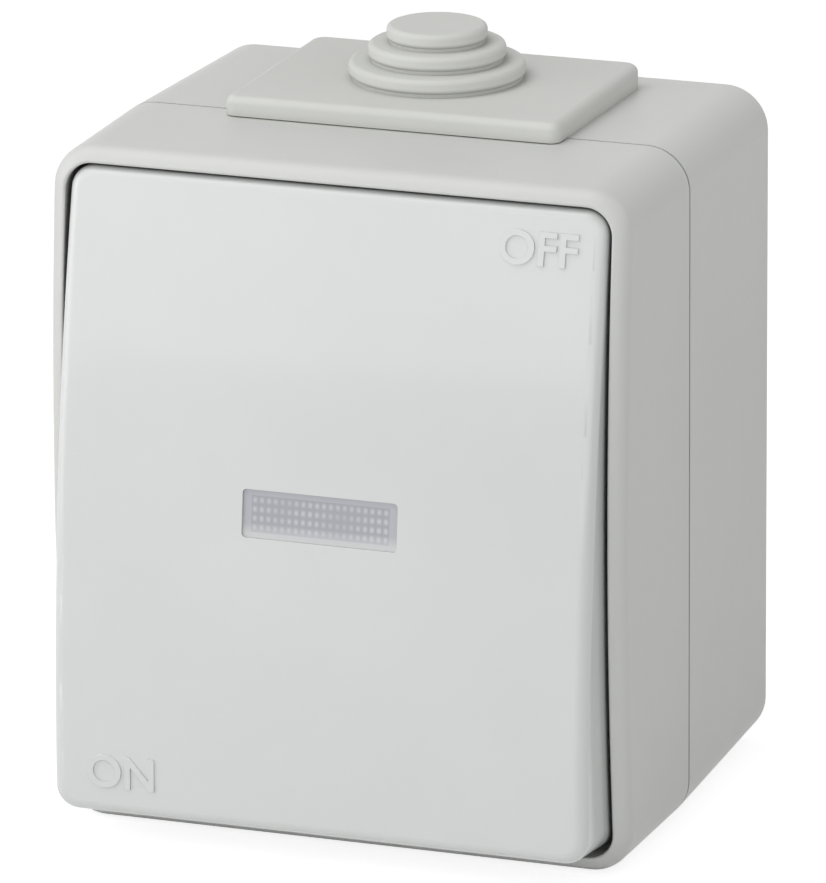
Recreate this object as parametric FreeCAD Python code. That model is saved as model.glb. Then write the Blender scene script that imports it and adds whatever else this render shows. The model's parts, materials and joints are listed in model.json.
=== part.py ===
import FreeCAD, Part
import math
import os

# Surface-mounted weatherproof rocker switch with an indicator window and a cable entry on top.
# Millimetres. The origin is the middle of the wall face, +X is to the right and +Z is up.
# A depth is a distance from the wall towards the front, which is along -Y.

# Case outline where the back box and the front cover meet
CASE_WIDTH = 67.3
CASE_HEIGHT = 77.5
CORNER_RADIUS = 4.9
PARTING_DEPTH = 29.3
BOX_DRAFT_SIDE = 0.65
BOX_DRAFT_END = 0.55
COVER_DRAFT_SIDE = 0.3
COVER_DRAFT_END = 0.05

# Stack through the switch, from the wall to the front of the rocker
BOX_FLOOR = 2.2
BASE_STANDOFF = 2.8
BASE_FLOOR = 2.0
FULCRUM_RISE = 4.0
TOGGLE_RISE = 14.0
BASE_OVER_AXLE = 4.5
LID_THICKNESS = 1.5
FORK_REACH = 9.0
FIN_BEHIND_DECK = 2.2
DECK_THICKNESS = 2.0
PIVOT_RISE = 7.7
PIVOT_SETBACK = 9.7
ROCKER_PROUD = 4.1

# Tilts of the moving pieces from their middle position, in degrees
ROCKER_TILT = 6.5
CONTACT_TILT = 8.0

# Back box
BOX_WALL = 2.4
RIM_WALL = 1.3
WALL_HOLE_SPACING_X = 40.0
WALL_HOLE_SPACING_Z = 46.0
WALL_HOLE_RADIUS = 2.2
WALL_COLLAR_WALL = 1.6
WALL_COLLAR_RISE = 3.0
CORNER_POST_RADIUS = 3.8
MECHANISM_POST_RADIUS = 4.0

# Joint between box and cover
SEAM_GAP = 0.35
TONGUE_THICKNESS = 1.0
TONGUE_LENGTH = 1.0
TONGUE_GAP = 0.1
GASKET_THICKNESS = 1.0

# Front cover
COVER_WALL = 2.4
COVER_SAG = 2.25
COVER_EDGE_ROUND = 2.1
APERTURE_RIM_SIDE = 1.8
APERTURE_RIM_END = 1.83
APERTURE_CORNER = 3.1
APERTURE_EDGE_ROUND = 0.25
BRACKET_THICKNESS = 3.0
BRACKET_RADIUS = 4.0
BRACKET_GAP = 0.8
SNAP_MOUTH_SHARE = 0.82
TRUNNION_RADIUS = 2.0
RUNNING_GAP = 0.06
PEG_RADIUS = 1.5
PEG_HEAD_RADIUS = 2.2
PEG_HEAD_THICKNESS = 0.8

# Cover screws, their sealing rings and the other screws
COVER_SCREW_INSET_X = 7.65
COVER_SCREW_INSET_Z = 7.75
SLEEVE_RADIUS = 4.2
SCREW_WELL_DEPTH = 3.2
SCREW_RADIUS = 1.5
SCREW_HEAD_RADIUS = 2.8
SCREW_HEAD_HEIGHT = 2.0
SCREW_GAP = 0.05
SCREW_LENGTH = 18.0
MECHANISM_SCREW_LENGTH = 7.5
DRIVE_SLOT_WIDTH = 0.9
DRIVE_SLOT_DEPTH = 1.0
DRIVE_SLOT_SHARE = 1.6
SEALING_RING_THICKNESS = 0.8
SEALING_RING_GAP = 0.2
SLEEVE_BORE_GAP = 0.3

# Cable entry
PLATE_WIDTH = 39.0
PLATE_LENGTH = 28.7
PLATE_OVERLAP = 3.3
PLATE_PROUD = 2.3
PLATE_LIP_GAP = 0.1
PLATE_EDGE_ROUND = 0.9
PLATE_FRONT_CORNER = 1.2
PLATE_BACK_CORNER = 1.8
NECK_RADIUS = 7.6
NECK_GAP = 0.1
FLANGE_RADIUS = 9.0
FLANGE_THICKNESS = 1.6
ENTRY_RIM_MARGIN = 1.1
ENTRY_BORE_RADIUS = 6.2
STEP_RADII = (9.84, 7.68, 5.62)
STEP_PITCH = 2.03
STEP_GROOVE = 0.3
STEP_EDGE_ROUND = 0.6
MEMBRANE_WALL = 1.1

# Rocker and lens
ROCKER_GAP_SIDE = 0.45
ROCKER_GAP_END = 0.78
ROCKER_CORNER = 2.7
ROCKER_SAG = 2.2
ROCKER_EDGE_ROUND = 1.4
ROCKER_WALL = 2.0
SKIRT_ROOM = 1.2
ROCKER_RIB_HEIGHT = 3.2
ROCKER_RIB_THICKNESS = 1.4
ROCKER_RIB_X = 20.0
ROCKER_RIB_Z = 17.0
FIN_X = 13.0
FIN_WIDTH = 3.6
FIN_THICKNESS = 2.0
FIN_ROOT_THICKNESS = 7.0
FIN_TAPER_LENGTH = 9.0
FIN_TIP_RADIUS = 1.4
LENS_WIDTH = 17.8
LENS_HEIGHT = 5.2
LENS_CORNER = 0.5
LENS_DROP = 0.35
LENS_GAP = 0.1
LENS_RECESS = 0.1
LENS_FLANGE_MARGIN = 1.4
LENS_FLANGE_THICKNESS = 1.2
LENS_LEG_X = 5.4
LENS_LEG_WIDTH = 3.0
LENS_LEG_HEIGHT = 3.4
LENS_LEG_LENGTH = 2.0

# Sealing diaphragm and its retainer
SEAL_HALF_X = 17.0
SEAL_HALF_Z = 8.0
SEAL_CORNER = 3.0
SEAL_WALL = 0.8
SEAL_RISE = 2.8
SEAL_FLANGE_WIDTH = 2.5
SEAL_FLANGE_THICKNESS = 1.2
SEAL_COLLAR_WALL = 0.9
SEAL_COLLAR_HEIGHT = 2.4
SEAL_GAP = 0.2
FIN_SLEEVE_GAP = 0.05
RETAINER_MARGIN = 3.0
RETAINER_SIDE_MARGIN = 5.5
RETAINER_THICKNESS = 1.2
PEG_INSET = 2.3

# Switch base and lid
BASE_HALF_X = 18.0
BASE_HALF_Z = 15.0
BASE_WALL = 1.8
BASE_CORNER = 1.0
EAR_RISE = 3.0
EAR_THICKNESS = 3.0
EAR_REACH = 9.0
EAR_HALF_Z = 5.0
EAR_SCREW_OFFSET = 4.5
LID_PEG_RADIUS = 0.6
AXLE_RADIUS = 1.25
AXLE_SHORT = 0.2

# Terminals
TERMINAL_X = 7.5
TERMINAL_BLOCK_HALF_X = 15.0
TERMINAL_BLOCK_HEIGHT = 11.0
TERMINAL_BLOCK_RISE = 9.0
POCKET_WALL = 1.6
POCKET_GAP = 0.15
CAGE_HALF_X = 3.5
CAGE_WALL = 0.9
CAGE_FRONT_WALL = 1.8
CAGE_OPENING = 6.2
CAGE_LENGTH = 7.0
CAGE_START = 0.4
TERMINAL_SCREW_HEAD_RADIUS = 2.6
TERMINAL_SCREW_HEAD_HEIGHT = 1.8
TERMINAL_SCREW_STANDS_OUT = 1.2
STRIP_WIDTH = 4.4
STRIP_THICKNESS = 1.0
STRIP_SLOT_GAP = 0.1

# Contacts
FULCRUM_THICKNESS = 0.7
FULCRUM_HALF_X = 3.4
LEVER_HALF_X = 4.0
LEVER_HALF_Z = 10.5
LEVER_LIFT = 0.45
LEVER_THICKNESS = 1.0
LEVER_RIB_OFFSET = 0.6
LEVER_RIB_THICKNESS = 0.6
LEVER_RIB_HEIGHT = 0.9
CONTACT_Z = 8.5
CONTACT_RADIUS = 2.0
CONTACT_HEIGHT = 1.0
CONTACT_DOME = 0.5
CONTACT_CLOSED_GAP = 0.1

# Toggle, plunger and spring
HUB_RADIUS = 3.5
HUB_END_GAP = 0.4
ARM_WIDTH = 4.5
ARM_HALF_Z = 3.4
ARM_PAST_FIN = 1.2
FORK_GAP = 0.14
FORK_BOTTOM_ROOM = 0.5
LID_SLOT_ROOM = 0.4
LID_SLOT_HALF_Z = 5.4
GUIDE_RADIUS = 3.0
GUIDE_SHORT = 2.4
SPRING_SEAT = 2.2
PLUNGER_RADIUS = 1.5
PLUNGER_LENGTH = 6.5
PLUNGER_GAP = 0.05
SPRING_WIRE_RADIUS = 0.2
SPRING_RADIUS = 1.15
SPRING_TURNS = 5

# Indicator lamp
BOARD_HALF_X = 7.5
BOARD_HALF_Z = 6.5
BOARD_THICKNESS = 1.2
LAMP_RADIUS = 2.5
LAMP_HEIGHT = 5.4
LAMP_FOOT_RADIUS = 2.9
LAMP_FOOT_HEIGHT = 1.0
RESISTOR_Z = -4.6
RESISTOR_RADIUS = 1.0
RESISTOR_CAP_RADIUS = 1.2
RESISTOR_LENGTH = 6.0
RESISTOR_CAP_LENGTH = 1.4
LEAD_X = 6.4
LEAD_RADIUS = 0.6
LEAD_GAP = 0.05
LEAD_BEND_RADIUS = 4.0
LEAD_PAST_BLOCK = 3.5
LEAD_IN_CAGE = 2.0

# Depths that follow from the stack
BASE_REAR = BOX_FLOOR + BASE_STANDOFF
BASE_SEAT = BASE_REAR + BASE_FLOOR
STRIP_FRONT = BASE_SEAT + STRIP_THICKNESS
CONTACT_PIVOT = BASE_SEAT + FULCRUM_RISE
LEVER_REAR = CONTACT_PIVOT + LEVER_LIFT
LEVER_FRONT = LEVER_REAR + LEVER_THICKNESS
PLUNGER_TIP = LEVER_FRONT + PLUNGER_GAP
PLUNGER_BALL = PLUNGER_TIP + PLUNGER_RADIUS
TOGGLE_PIVOT = CONTACT_PIVOT + TOGGLE_RISE
BASE_FRONT = TOGGLE_PIVOT + BASE_OVER_AXLE
LID_FRONT = BASE_FRONT + LID_THICKNESS
BOARD_FRONT = LID_FRONT + BOARD_THICKNESS
FIN_TIP = TOGGLE_PIVOT + FORK_REACH
DECK_REAR = FIN_TIP + FIN_BEHIND_DECK
DECK_FRONT = DECK_REAR + DECK_THICKNESS
SEAL_FRONT = DECK_FRONT + SEAL_RISE
SEAL_REAR = DECK_REAR - SEAL_FLANGE_THICKNESS
RETAINER_REAR = SEAL_REAR - RETAINER_THICKNESS
ROCKER_PIVOT = DECK_FRONT + PIVOT_RISE
ROCKER_APEX = ROCKER_PIVOT + PIVOT_SETBACK
COVER_DEPTH = ROCKER_APEX - ROCKER_PROUD
SCREW_SEAT = DECK_FRONT - SCREW_WELL_DEPTH
RIM_DEPTH = TONGUE_LENGTH + GASKET_THICKNESS
EAR_REAR = BASE_REAR + EAR_RISE
EAR_FRONT = EAR_REAR + EAR_THICKNESS
BLOCK_FRONT = BASE_SEAT + TERMINAL_BLOCK_RISE
CAGE_REAR = BASE_SEAT - CAGE_WALL
CAGE_INNER_FRONT = BASE_SEAT + CAGE_OPENING
CAGE_FRONT = CAGE_INNER_FRONT + CAGE_FRONT_WALL
LEAD_SEAT = STRIP_FRONT + LEAD_RADIUS + LEAD_GAP

# Widths and heights that follow from the case
COVER_WIDTH = CASE_WIDTH - 2 * COVER_DRAFT_SIDE
COVER_HEIGHT = CASE_HEIGHT - 2 * COVER_DRAFT_END
APERTURE_WIDTH = COVER_WIDTH - 2 * APERTURE_RIM_SIDE
APERTURE_HEIGHT = COVER_HEIGHT - 2 * APERTURE_RIM_END
ROCKER_WIDTH = APERTURE_WIDTH - 2 * ROCKER_GAP_SIDE
ROCKER_HEIGHT = APERTURE_HEIGHT - 2 * ROCKER_GAP_END
COVER_SCREW_X = CASE_WIDTH / 2 - COVER_SCREW_INSET_X
COVER_SCREW_Z = CASE_HEIGHT / 2 - COVER_SCREW_INSET_Z
EAR_SCREW_X = BASE_HALF_X + EAR_SCREW_OFFSET
BLOCK_TOP = BASE_HALF_Z + TERMINAL_BLOCK_HEIGHT
POCKET_BOTTOM = BASE_HALF_Z + POCKET_WALL
CAGE_BOTTOM = POCKET_BOTTOM + CAGE_START
CAGE_TOP = CAGE_BOTTOM + CAGE_LENGTH
ENTRY_DEPTH = PARTING_DEPTH - RIM_DEPTH - ENTRY_RIM_MARGIN - FLANGE_RADIUS
PLATE_TOP = CASE_HEIGHT / 2 + PLATE_PROUD
ROCKER_INSIDE_X = ROCKER_WIDTH / 2 - ROCKER_WALL
BRACKET_OUTER_X = ROCKER_INSIDE_X - BRACKET_GAP
BRACKET_INNER_X = BRACKET_OUTER_X - BRACKET_THICKNESS
PEG_X = SEAL_HALF_X + SEAL_FLANGE_WIDTH + RETAINER_SIDE_MARGIN - PEG_INSET
PEG_Z = SEAL_HALF_Z + SEAL_FLANGE_WIDTH + RETAINER_MARGIN - PEG_INSET

# The rocker's fin works the toggle's fork, so the toggle leans the other way
FIN_REACH = ROCKER_PIVOT - FIN_TIP
FIN_SHIFT = FIN_REACH * math.sin(math.radians(ROCKER_TILT))
FIN_DEPTH_AT_REST = ROCKER_PIVOT - FIN_REACH * math.cos(math.radians(ROCKER_TILT))
TOGGLE_TILT = math.degrees(math.atan2(FIN_SHIFT, FIN_DEPTH_AT_REST - TOGGLE_PIVOT))

# The skirt ends where its pressed edge still clears the deck
SKIRT_DROP = ROCKER_HEIGHT / 2 * math.sin(math.radians(ROCKER_TILT))
SKIRT_BEHIND_PIVOT = (PIVOT_RISE - SKIRT_ROOM - SKIRT_DROP) / math.cos(math.radians(ROCKER_TILT))
SKIRT_REAR = ROCKER_PIVOT - SKIRT_BEHIND_PIVOT

# Length by which a cutting or clipping body runs past the face that it cuts
PASS = 1.0

# Distance within which an edge counts as lying on a face
EDGE_NEARNESS = 0.001

ACROSS = FreeCAD.Vector(1, 0, 0)
FORWARD = FreeCAD.Vector(0, -1, 0)
UP = FreeCAD.Vector(0, 0, 1)


def at(x, depth, z):
    return FreeCAD.Vector(x, -depth, z)


def about(middle, half):
    return (middle - half, middle + half)


def block(x_span, depth_span, z_span):
    sizes = [high - low for low, high in (x_span, depth_span, z_span)]
    return Part.makeBox(*sizes, at(x_span[0], depth_span[1], z_span[0]))


def rod_forward(radius, x, z, rear, front):
    return Part.makeCylinder(radius, front - rear, at(x, rear, z), FORWARD)


def rod_across(radius, left, right, depth, z):
    return Part.makeCylinder(radius, right - left, at(left, depth, z), ACROSS)


def rod_up(radius, x, depth, bottom, top):
    return Part.makeCylinder(radius, top - bottom, at(x, depth, bottom), UP)


def joined(first, others):
    return first.multiFuse(others).removeSplitter()


def without(body, cutters):
    return body.cut(Part.makeCompound(cutters))


# Rounded rectangle square to the depth direction, centred on the switch
def outline(width, height, radius, depth):
    corners = []
    for quarter in range(4):
        middle = math.radians(45 + 90 * quarter)
        x = math.copysign(width / 2 - radius, math.cos(middle))
        z = math.copysign(height / 2 - radius, math.sin(middle))
        turns = [middle + math.radians(turn) for turn in (-45, 0, 45)]
        corners.append([at(x + radius * math.cos(t), depth, z + radius * math.sin(t)) for t in turns])
    edges = []
    for index, corner in enumerate(corners):
        following = corners[(index + 1) % 4]
        edges.append(Part.Arc(*corner).toShape())
        edges.append(Part.LineSegment(corner[2], following[0]).toShape())
    return Part.Wire(edges)


def slab(width, height, radius, rear, front):
    return Part.Face(outline(width, height, radius, rear)).extrude(FORWARD * (front - rear))


# Outline of the case at a depth, with its draft, moved inwards by an inset
def case_outline(depth, inset):
    behind = depth < PARTING_DEPTH
    run = PARTING_DEPTH if behind else COVER_DEPTH - PARTING_DEPTH
    share = abs(depth - PARTING_DEPTH) / run
    side = (BOX_DRAFT_SIDE if behind else COVER_DRAFT_SIDE) * share + inset
    end = (BOX_DRAFT_END if behind else COVER_DRAFT_END) * share + inset
    return outline(CASE_WIDTH - 2 * side, CASE_HEIGHT - 2 * end, CORNER_RADIUS - inset, depth)


def case_body(rear, front, inset):
    return Part.makeLoft([case_outline(rear, inset), case_outline(front, inset)], True, True)


# Ring that follows the case outline at the parting plane, between two insets
def case_ring(rear, front, outer_inset, inner_inset):
    outer, inner = [
        slab(CASE_WIDTH - 2 * inset, CASE_HEIGHT - 2 * inset, CORNER_RADIUS - inset, rear, front)
        for inset in (outer_inset, inner_inset)
    ]
    return outer.cut(inner)


def arch_radius(half_height, sag):
    return (half_height ** 2 + sag ** 2) / (2 * sag)


# Large drum whose front gives a face its gentle arch from top to bottom
def arch(apex, radius):
    return rod_across(radius, -CASE_WIDTH, CASE_WIDTH, apex - radius, 0)


def arch_edges(shape, radius):
    for face in shape.Faces:
        if isinstance(face.Surface, Part.Cylinder) and math.isclose(face.Surface.Radius, radius):
            return face.OuterWire.Edges
    raise ValueError("the arched face is missing")


# Edges where a straight opening through the cover meets its front
def opening_front_edges(shape, opening):
    edges = []
    for edge in shape.Edges:
        ends = [vertex.Point for vertex in edge.Vertexes]
        along_depth = math.isclose(ends[0].x, ends[1].x) and math.isclose(ends[0].z, ends[1].z)
        middle = edge.valueAt(edge.getParameterByLength(edge.Length / 2))
        on_wall = opening.Shells[0].distToShape(Part.Vertex(middle))[0] < EDGE_NEARNESS
        if on_wall and not along_depth and -middle.y > DECK_FRONT + PASS:
            edges.append(edge)
    return edges


def four_places(x, z):
    return [(side * x, end * z) for side in (-1, 1) for end in (-1, 1)]


def tilted(shape, pivot_depth, degrees):
    return shape.rotated(at(0, pivot_depth, 0), ACROSS, degrees)


COVER_ARCH = arch_radius(CASE_HEIGHT / 2, COVER_SAG)
ROCKER_ARCH = arch_radius(ROCKER_HEIGHT / 2, ROCKER_SAG)
COVER_SCREW_PLACES = four_places(COVER_SCREW_X, COVER_SCREW_Z)
WALL_HOLE_PLACES = four_places(WALL_HOLE_SPACING_X / 2, WALL_HOLE_SPACING_Z / 2)
PEG_PLACES = four_places(PEG_X, PEG_Z)
LID_PEG_PLACES = four_places(BASE_HALF_X - BASE_WALL / 2, BASE_HALF_Z - BASE_WALL / 2)
SIDES = (-1, 1)


def back_box():
    outer = case_body(0, PARTING_DEPTH, 0)
    tub = outer.cut(case_body(BOX_FLOOR, PARTING_DEPTH, BOX_WALL))
    tub = tub.cut(case_ring(PARTING_DEPTH - RIM_DEPTH, PARTING_DEPTH, RIM_WALL, BOX_WALL))
    inside = BOX_FLOOR / 2
    posts = [rod_forward(CORNER_POST_RADIUS, x, z, inside, PARTING_DEPTH) for x, z in COVER_SCREW_PLACES]
    posts += [rod_forward(MECHANISM_POST_RADIUS, side * EAR_SCREW_X, 0, inside, EAR_REAR) for side in SIDES]
    collar_front = BOX_FLOOR + WALL_COLLAR_RISE
    collar_radius = WALL_HOLE_RADIUS + WALL_COLLAR_WALL
    posts += [rod_forward(collar_radius, x, z, inside, collar_front) for x, z in WALL_HOLE_PLACES]
    tub = joined(tub, [post.common(outer) for post in posts])
    pilot = SCREW_RADIUS + SCREW_GAP
    cover_screw_end = SCREW_SEAT + SEALING_RING_THICKNESS - SCREW_LENGTH
    holes = [rod_forward(pilot, x, z, cover_screw_end - PASS, PARTING_DEPTH) for x, z in COVER_SCREW_PLACES]
    mechanism_screw_end = EAR_FRONT - MECHANISM_SCREW_LENGTH
    for side in SIDES:
        holes.append(rod_forward(pilot, side * EAR_SCREW_X, 0, mechanism_screw_end, EAR_REAR))
    holes += [rod_forward(WALL_HOLE_RADIUS, x, z, -PASS, collar_front) for x, z in WALL_HOLE_PLACES]
    holes.append(rod_up(NECK_RADIUS + NECK_GAP, 0, ENTRY_DEPTH, CASE_HEIGHT / 2 - 2 * BOX_WALL, CASE_HEIGHT / 2))
    return without(tub, holes)


def cover_gasket():
    seat = PARTING_DEPTH - RIM_DEPTH
    outer_inset = RIM_WALL + TONGUE_GAP
    return case_ring(seat, seat + GASKET_THICKNESS, outer_inset, outer_inset + TONGUE_THICKNESS)


# Cradle on the deck that a rocker trunnion snaps into from the front
def pivot_bracket(side):
    x_span = sorted((side * BRACKET_INNER_X, side * BRACKET_OUTER_X))
    post = block(x_span, (DECK_FRONT - DECK_THICKNESS / 2, ROCKER_PIVOT), about(0, BRACKET_RADIUS))
    bracket = post.fuse(rod_across(BRACKET_RADIUS, *x_span, ROCKER_PIVOT, 0)).removeSplitter()
    bore_radius = TRUNNION_RADIUS + RUNNING_GAP
    mouth_front = ROCKER_PIVOT + BRACKET_RADIUS + PASS
    mouth = block(x_span, (ROCKER_PIVOT, mouth_front), about(0, SNAP_MOUTH_SHARE * TRUNNION_RADIUS))
    return bracket.cut(rod_across(bore_radius, *x_span, ROCKER_PIVOT, 0)).cut(mouth)


def front_cover():
    beyond = COVER_DEPTH + PASS
    shell = case_body(PARTING_DEPTH + SEAM_GAP, beyond, 0).common(arch(COVER_DEPTH, COVER_ARCH))
    shell = shell.makeFillet(COVER_EDGE_ROUND, arch_edges(shell, COVER_ARCH))
    aperture = slab(APERTURE_WIDTH, APERTURE_HEIGHT, APERTURE_CORNER, DECK_FRONT, beyond)
    shell = shell.cut(aperture)
    shell = shell.makeFillet(APERTURE_EDGE_ROUND, opening_front_edges(shell, aperture))
    inside = (CASE_WIDTH - 2 * COVER_WALL, CASE_HEIGHT - 2 * COVER_WALL, CORNER_RADIUS - COVER_WALL)
    shell = shell.cut(slab(*inside, PARTING_DEPTH, DECK_REAR))
    tongue_inset = RIM_WALL + TONGUE_GAP
    tongue = about(PARTING_DEPTH, TONGUE_LENGTH)
    additions = [case_ring(*tongue, tongue_inset, tongue_inset + TONGUE_THICKNESS)]
    deck_middle = DECK_FRONT - DECK_THICKNESS / 2
    for x, z in COVER_SCREW_PLACES:
        additions.append(rod_forward(SLEEVE_RADIUS, x, z, PARTING_DEPTH, deck_middle))
    for x, z in PEG_PLACES:
        additions.append(rod_forward(PEG_RADIUS, x, z, RETAINER_REAR, deck_middle))
        head_rear = RETAINER_REAR - PEG_HEAD_THICKNESS
        additions.append(rod_forward(PEG_HEAD_RADIUS, x, z, head_rear, RETAINER_REAR))
    additions += [pivot_bracket(side) for side in SIDES]
    shell = joined(shell, additions)
    opening = (2 * (SEAL_HALF_X + SEAL_GAP), 2 * (SEAL_HALF_Z + SEAL_GAP), SEAL_CORNER + SEAL_GAP)
    cutters = [slab(*opening, DECK_REAR - PASS, DECK_FRONT + PASS)]
    for x, z in COVER_SCREW_PLACES:
        cutters.append(rod_forward(SCREW_RADIUS + SLEEVE_BORE_GAP, x, z, PARTING_DEPTH - PASS, SCREW_SEAT))
        cutters.append(rod_forward(SCREW_HEAD_RADIUS + SLEEVE_BORE_GAP, x, z, SCREW_SEAT, beyond))
    return without(shell, cutters)


# Screw along the depth, seated under its head, with a straight driver slot
def slotted_screw(x, z, seat, length, head_radius, head_height):
    shank = rod_forward(SCREW_RADIUS, x, z, seat - length, seat)
    head_front = seat + head_height
    head = rod_forward(head_radius, x, z, seat, head_front)
    slot_depth = (head_front - DRIVE_SLOT_DEPTH, head_front)
    slot_half = DRIVE_SLOT_SHARE * head_radius / 2
    slot = block(about(x, slot_half), slot_depth, about(z, DRIVE_SLOT_WIDTH / 2))
    return shank.fuse(head).removeSplitter().cut(slot)


def cover_screws():
    seat = SCREW_SEAT + SEALING_RING_THICKNESS
    size = (seat, SCREW_LENGTH, SCREW_HEAD_RADIUS, SCREW_HEAD_HEIGHT)
    return Part.makeCompound([slotted_screw(x, z, *size) for x, z in COVER_SCREW_PLACES])


def cover_screw_seals():
    rings = []
    for x, z in COVER_SCREW_PLACES:
        front = SCREW_SEAT + SEALING_RING_THICKNESS
        outer = rod_forward(SCREW_HEAD_RADIUS + SLEEVE_BORE_GAP - SEALING_RING_GAP, x, z, SCREW_SEAT, front)
        rings.append(outer.cut(rod_forward(SCREW_RADIUS + SCREW_GAP, x, z, SCREW_SEAT, front)))
    return Part.makeCompound(rings)


def plate_face(bottom):
    front = PARTING_DEPTH + PLATE_OVERLAP
    rear = front - PLATE_LENGTH
    half = PLATE_WIDTH / 2
    plate = block(about(0, half), (rear, front), (bottom, PLATE_TOP))
    for depth, radius in ((front, PLATE_FRONT_CORNER), (rear, PLATE_BACK_CORNER)):
        upright = [
            edge for edge in plate.Edges
            if all(math.isclose(vertex.Y, -depth) for vertex in edge.Vertexes)
            and not math.isclose(edge.Vertexes[0].Z, edge.Vertexes[1].Z)
        ]
        plate = plate.makeFillet(radius, upright)
    rim = [edge for edge in plate.Edges if all(math.isclose(vertex.Z, PLATE_TOP) for vertex in edge.Vertexes)]
    return plate.makeFillet(PLATE_EDGE_ROUND, rim)


# Round steps of the membrane, each with a narrower groove below it, cut off to suit the cable
def stepped_membrane():
    steps = []
    for index, radius in enumerate(STEP_RADII):
        ledge = PLATE_TOP + index * STEP_PITCH
        groove_top = ledge + STEP_GROOVE
        disc = rod_up(radius, 0, ENTRY_DEPTH, groove_top, ledge + STEP_PITCH)
        rims = [edge for edge in disc.Edges if edge.isClosed()]
        steps.append(disc.makeFillet(STEP_EDGE_ROUND, rims))
        neck_span = (ledge - STEP_EDGE_ROUND, groove_top + STEP_EDGE_ROUND)
        steps.append(rod_up(radius - STEP_GROOVE, 0, ENTRY_DEPTH, *neck_span))
    return steps


def cable_entry(box):
    inner_face = CASE_HEIGHT / 2 - BOX_WALL
    flange_bottom = inner_face - BOX_DRAFT_END - FLANGE_THICKNESS
    plate = plate_face(inner_face)
    plate = plate.cut(case_body(0, PARTING_DEPTH, 0))
    lip_room = case_body(PARTING_DEPTH, COVER_DEPTH, 0).translated(UP * PLATE_LIP_GAP)
    plate = plate.cut(lip_room)
    pieces = stepped_membrane()
    pieces.append(rod_up(NECK_RADIUS, 0, ENTRY_DEPTH, flange_bottom, PLATE_TOP))
    pieces.append(rod_up(FLANGE_RADIUS, 0, ENTRY_DEPTH, flange_bottom, inner_face).cut(box))
    entry = joined(plate, pieces)
    second_top = PLATE_TOP + 2 * STEP_PITCH
    third_top = second_top + STEP_PITCH
    bore = rod_up(ENTRY_BORE_RADIUS, 0, ENTRY_DEPTH, flange_bottom - PASS, second_top - MEMBRANE_WALL)
    tip_radius = STEP_RADII[2] - MEMBRANE_WALL
    tip = rod_up(tip_radius, 0, ENTRY_DEPTH, flange_bottom, third_top - MEMBRANE_WALL)
    return without(entry, [bore.fuse(tip)])


# Blade behind the rocker that reaches through the diaphragm into the toggle's fork
def drive_fin(side, thickness_grown, rear, front):
    x_span = about(side * FIN_X, FIN_WIDTH / 2 + thickness_grown)
    half = FIN_THICKNESS / 2 + thickness_grown
    return block(x_span, (rear, front), about(0, half))


def fin_root(side):
    root_half = FIN_ROOT_THICKNESS / 2
    front = ROCKER_APEX
    rear = ROCKER_APEX - ROCKER_WALL - FIN_TAPER_LENGTH
    corners = [(rear, FIN_THICKNESS / 2), (front, root_half), (front, -root_half), (rear, -FIN_THICKNESS / 2)]
    left = side * FIN_X - FIN_WIDTH / 2
    points = [at(left, depth, z) for depth, z in corners]
    return Part.Face(Part.makePolygon(points + points[:1])).extrude(ACROSS * FIN_WIDTH)


def rocker():
    beyond = ROCKER_APEX + PASS
    size = (ROCKER_WIDTH, ROCKER_HEIGHT, ROCKER_CORNER)
    outer = slab(*size, SKIRT_REAR, beyond).common(arch(ROCKER_APEX, ROCKER_ARCH))
    outer = outer.makeFillet(ROCKER_EDGE_ROUND, arch_edges(outer, ROCKER_ARCH))
    inside = slab(*[part - 2 * ROCKER_WALL for part in size[:2]], ROCKER_CORNER - ROCKER_WALL, SKIRT_REAR, beyond)
    inside = inside.common(arch(ROCKER_APEX - ROCKER_WALL, ROCKER_ARCH - ROCKER_WALL))
    additions = []
    rib_rear = ROCKER_APEX - ROCKER_WALL - ROCKER_RIB_HEIGHT
    for side in SIDES:
        rib_depth = (rib_rear, beyond)
        rib_half = ROCKER_RIB_THICKNESS / 2
        additions.append(block(about(side * ROCKER_RIB_X, rib_half), rib_depth, about(0, ROCKER_HEIGHT / 2)))
        additions.append(block(about(0, ROCKER_WIDTH / 2), rib_depth, about(side * ROCKER_RIB_Z, rib_half)))
        additions.append(fin_root(side))
    shell = joined(outer.cut(inside), [addition.common(outer) for addition in additions])
    works = []
    for side in SIDES:
        works.append(drive_fin(side, 0, FIN_TIP, ROCKER_APEX - ROCKER_WALL))
        works.append(rod_across(FIN_TIP_RADIUS, *about(side * FIN_X, FIN_WIDTH / 2), FIN_TIP, 0))
        trunnion = sorted((side * BRACKET_INNER_X, side * (ROCKER_INSIDE_X + ROCKER_WALL / 2)))
        works.append(rod_across(TRUNNION_RADIUS, *trunnion, ROCKER_PIVOT, 0))
    shell = joined(shell, works)
    window = (LENS_WIDTH + 2 * LENS_GAP, LENS_HEIGHT + 2 * LENS_GAP, LENS_CORNER)
    opening = slab(*window, ROCKER_APEX - ROCKER_WALL - PASS, beyond).translated(-UP * LENS_DROP)
    return tilted(shell.cut(opening), ROCKER_PIVOT, -ROCKER_TILT)


def indicator_lens():
    flange_front = ROCKER_APEX - ROCKER_WALL - LENS_GAP
    flange_rear = flange_front - LENS_FLANGE_THICKNESS
    margin = 2 * LENS_FLANGE_MARGIN
    window = slab(LENS_WIDTH, LENS_HEIGHT, LENS_CORNER, flange_rear, ROCKER_APEX - LENS_RECESS)
    flange = slab(LENS_WIDTH + margin, LENS_HEIGHT + margin, LENS_CORNER, flange_rear, flange_front)
    leg_depth = (flange_rear - LENS_LEG_LENGTH, flange_front)
    leg_height = about(0, LENS_LEG_HEIGHT / 2)
    legs = [block(about(side * LENS_LEG_X, LENS_LEG_WIDTH / 2), leg_depth, leg_height) for side in SIDES]
    lens = joined(window, [flange] + legs).translated(-UP * LENS_DROP)
    return tilted(lens, ROCKER_PIVOT, -ROCKER_TILT)


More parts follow.
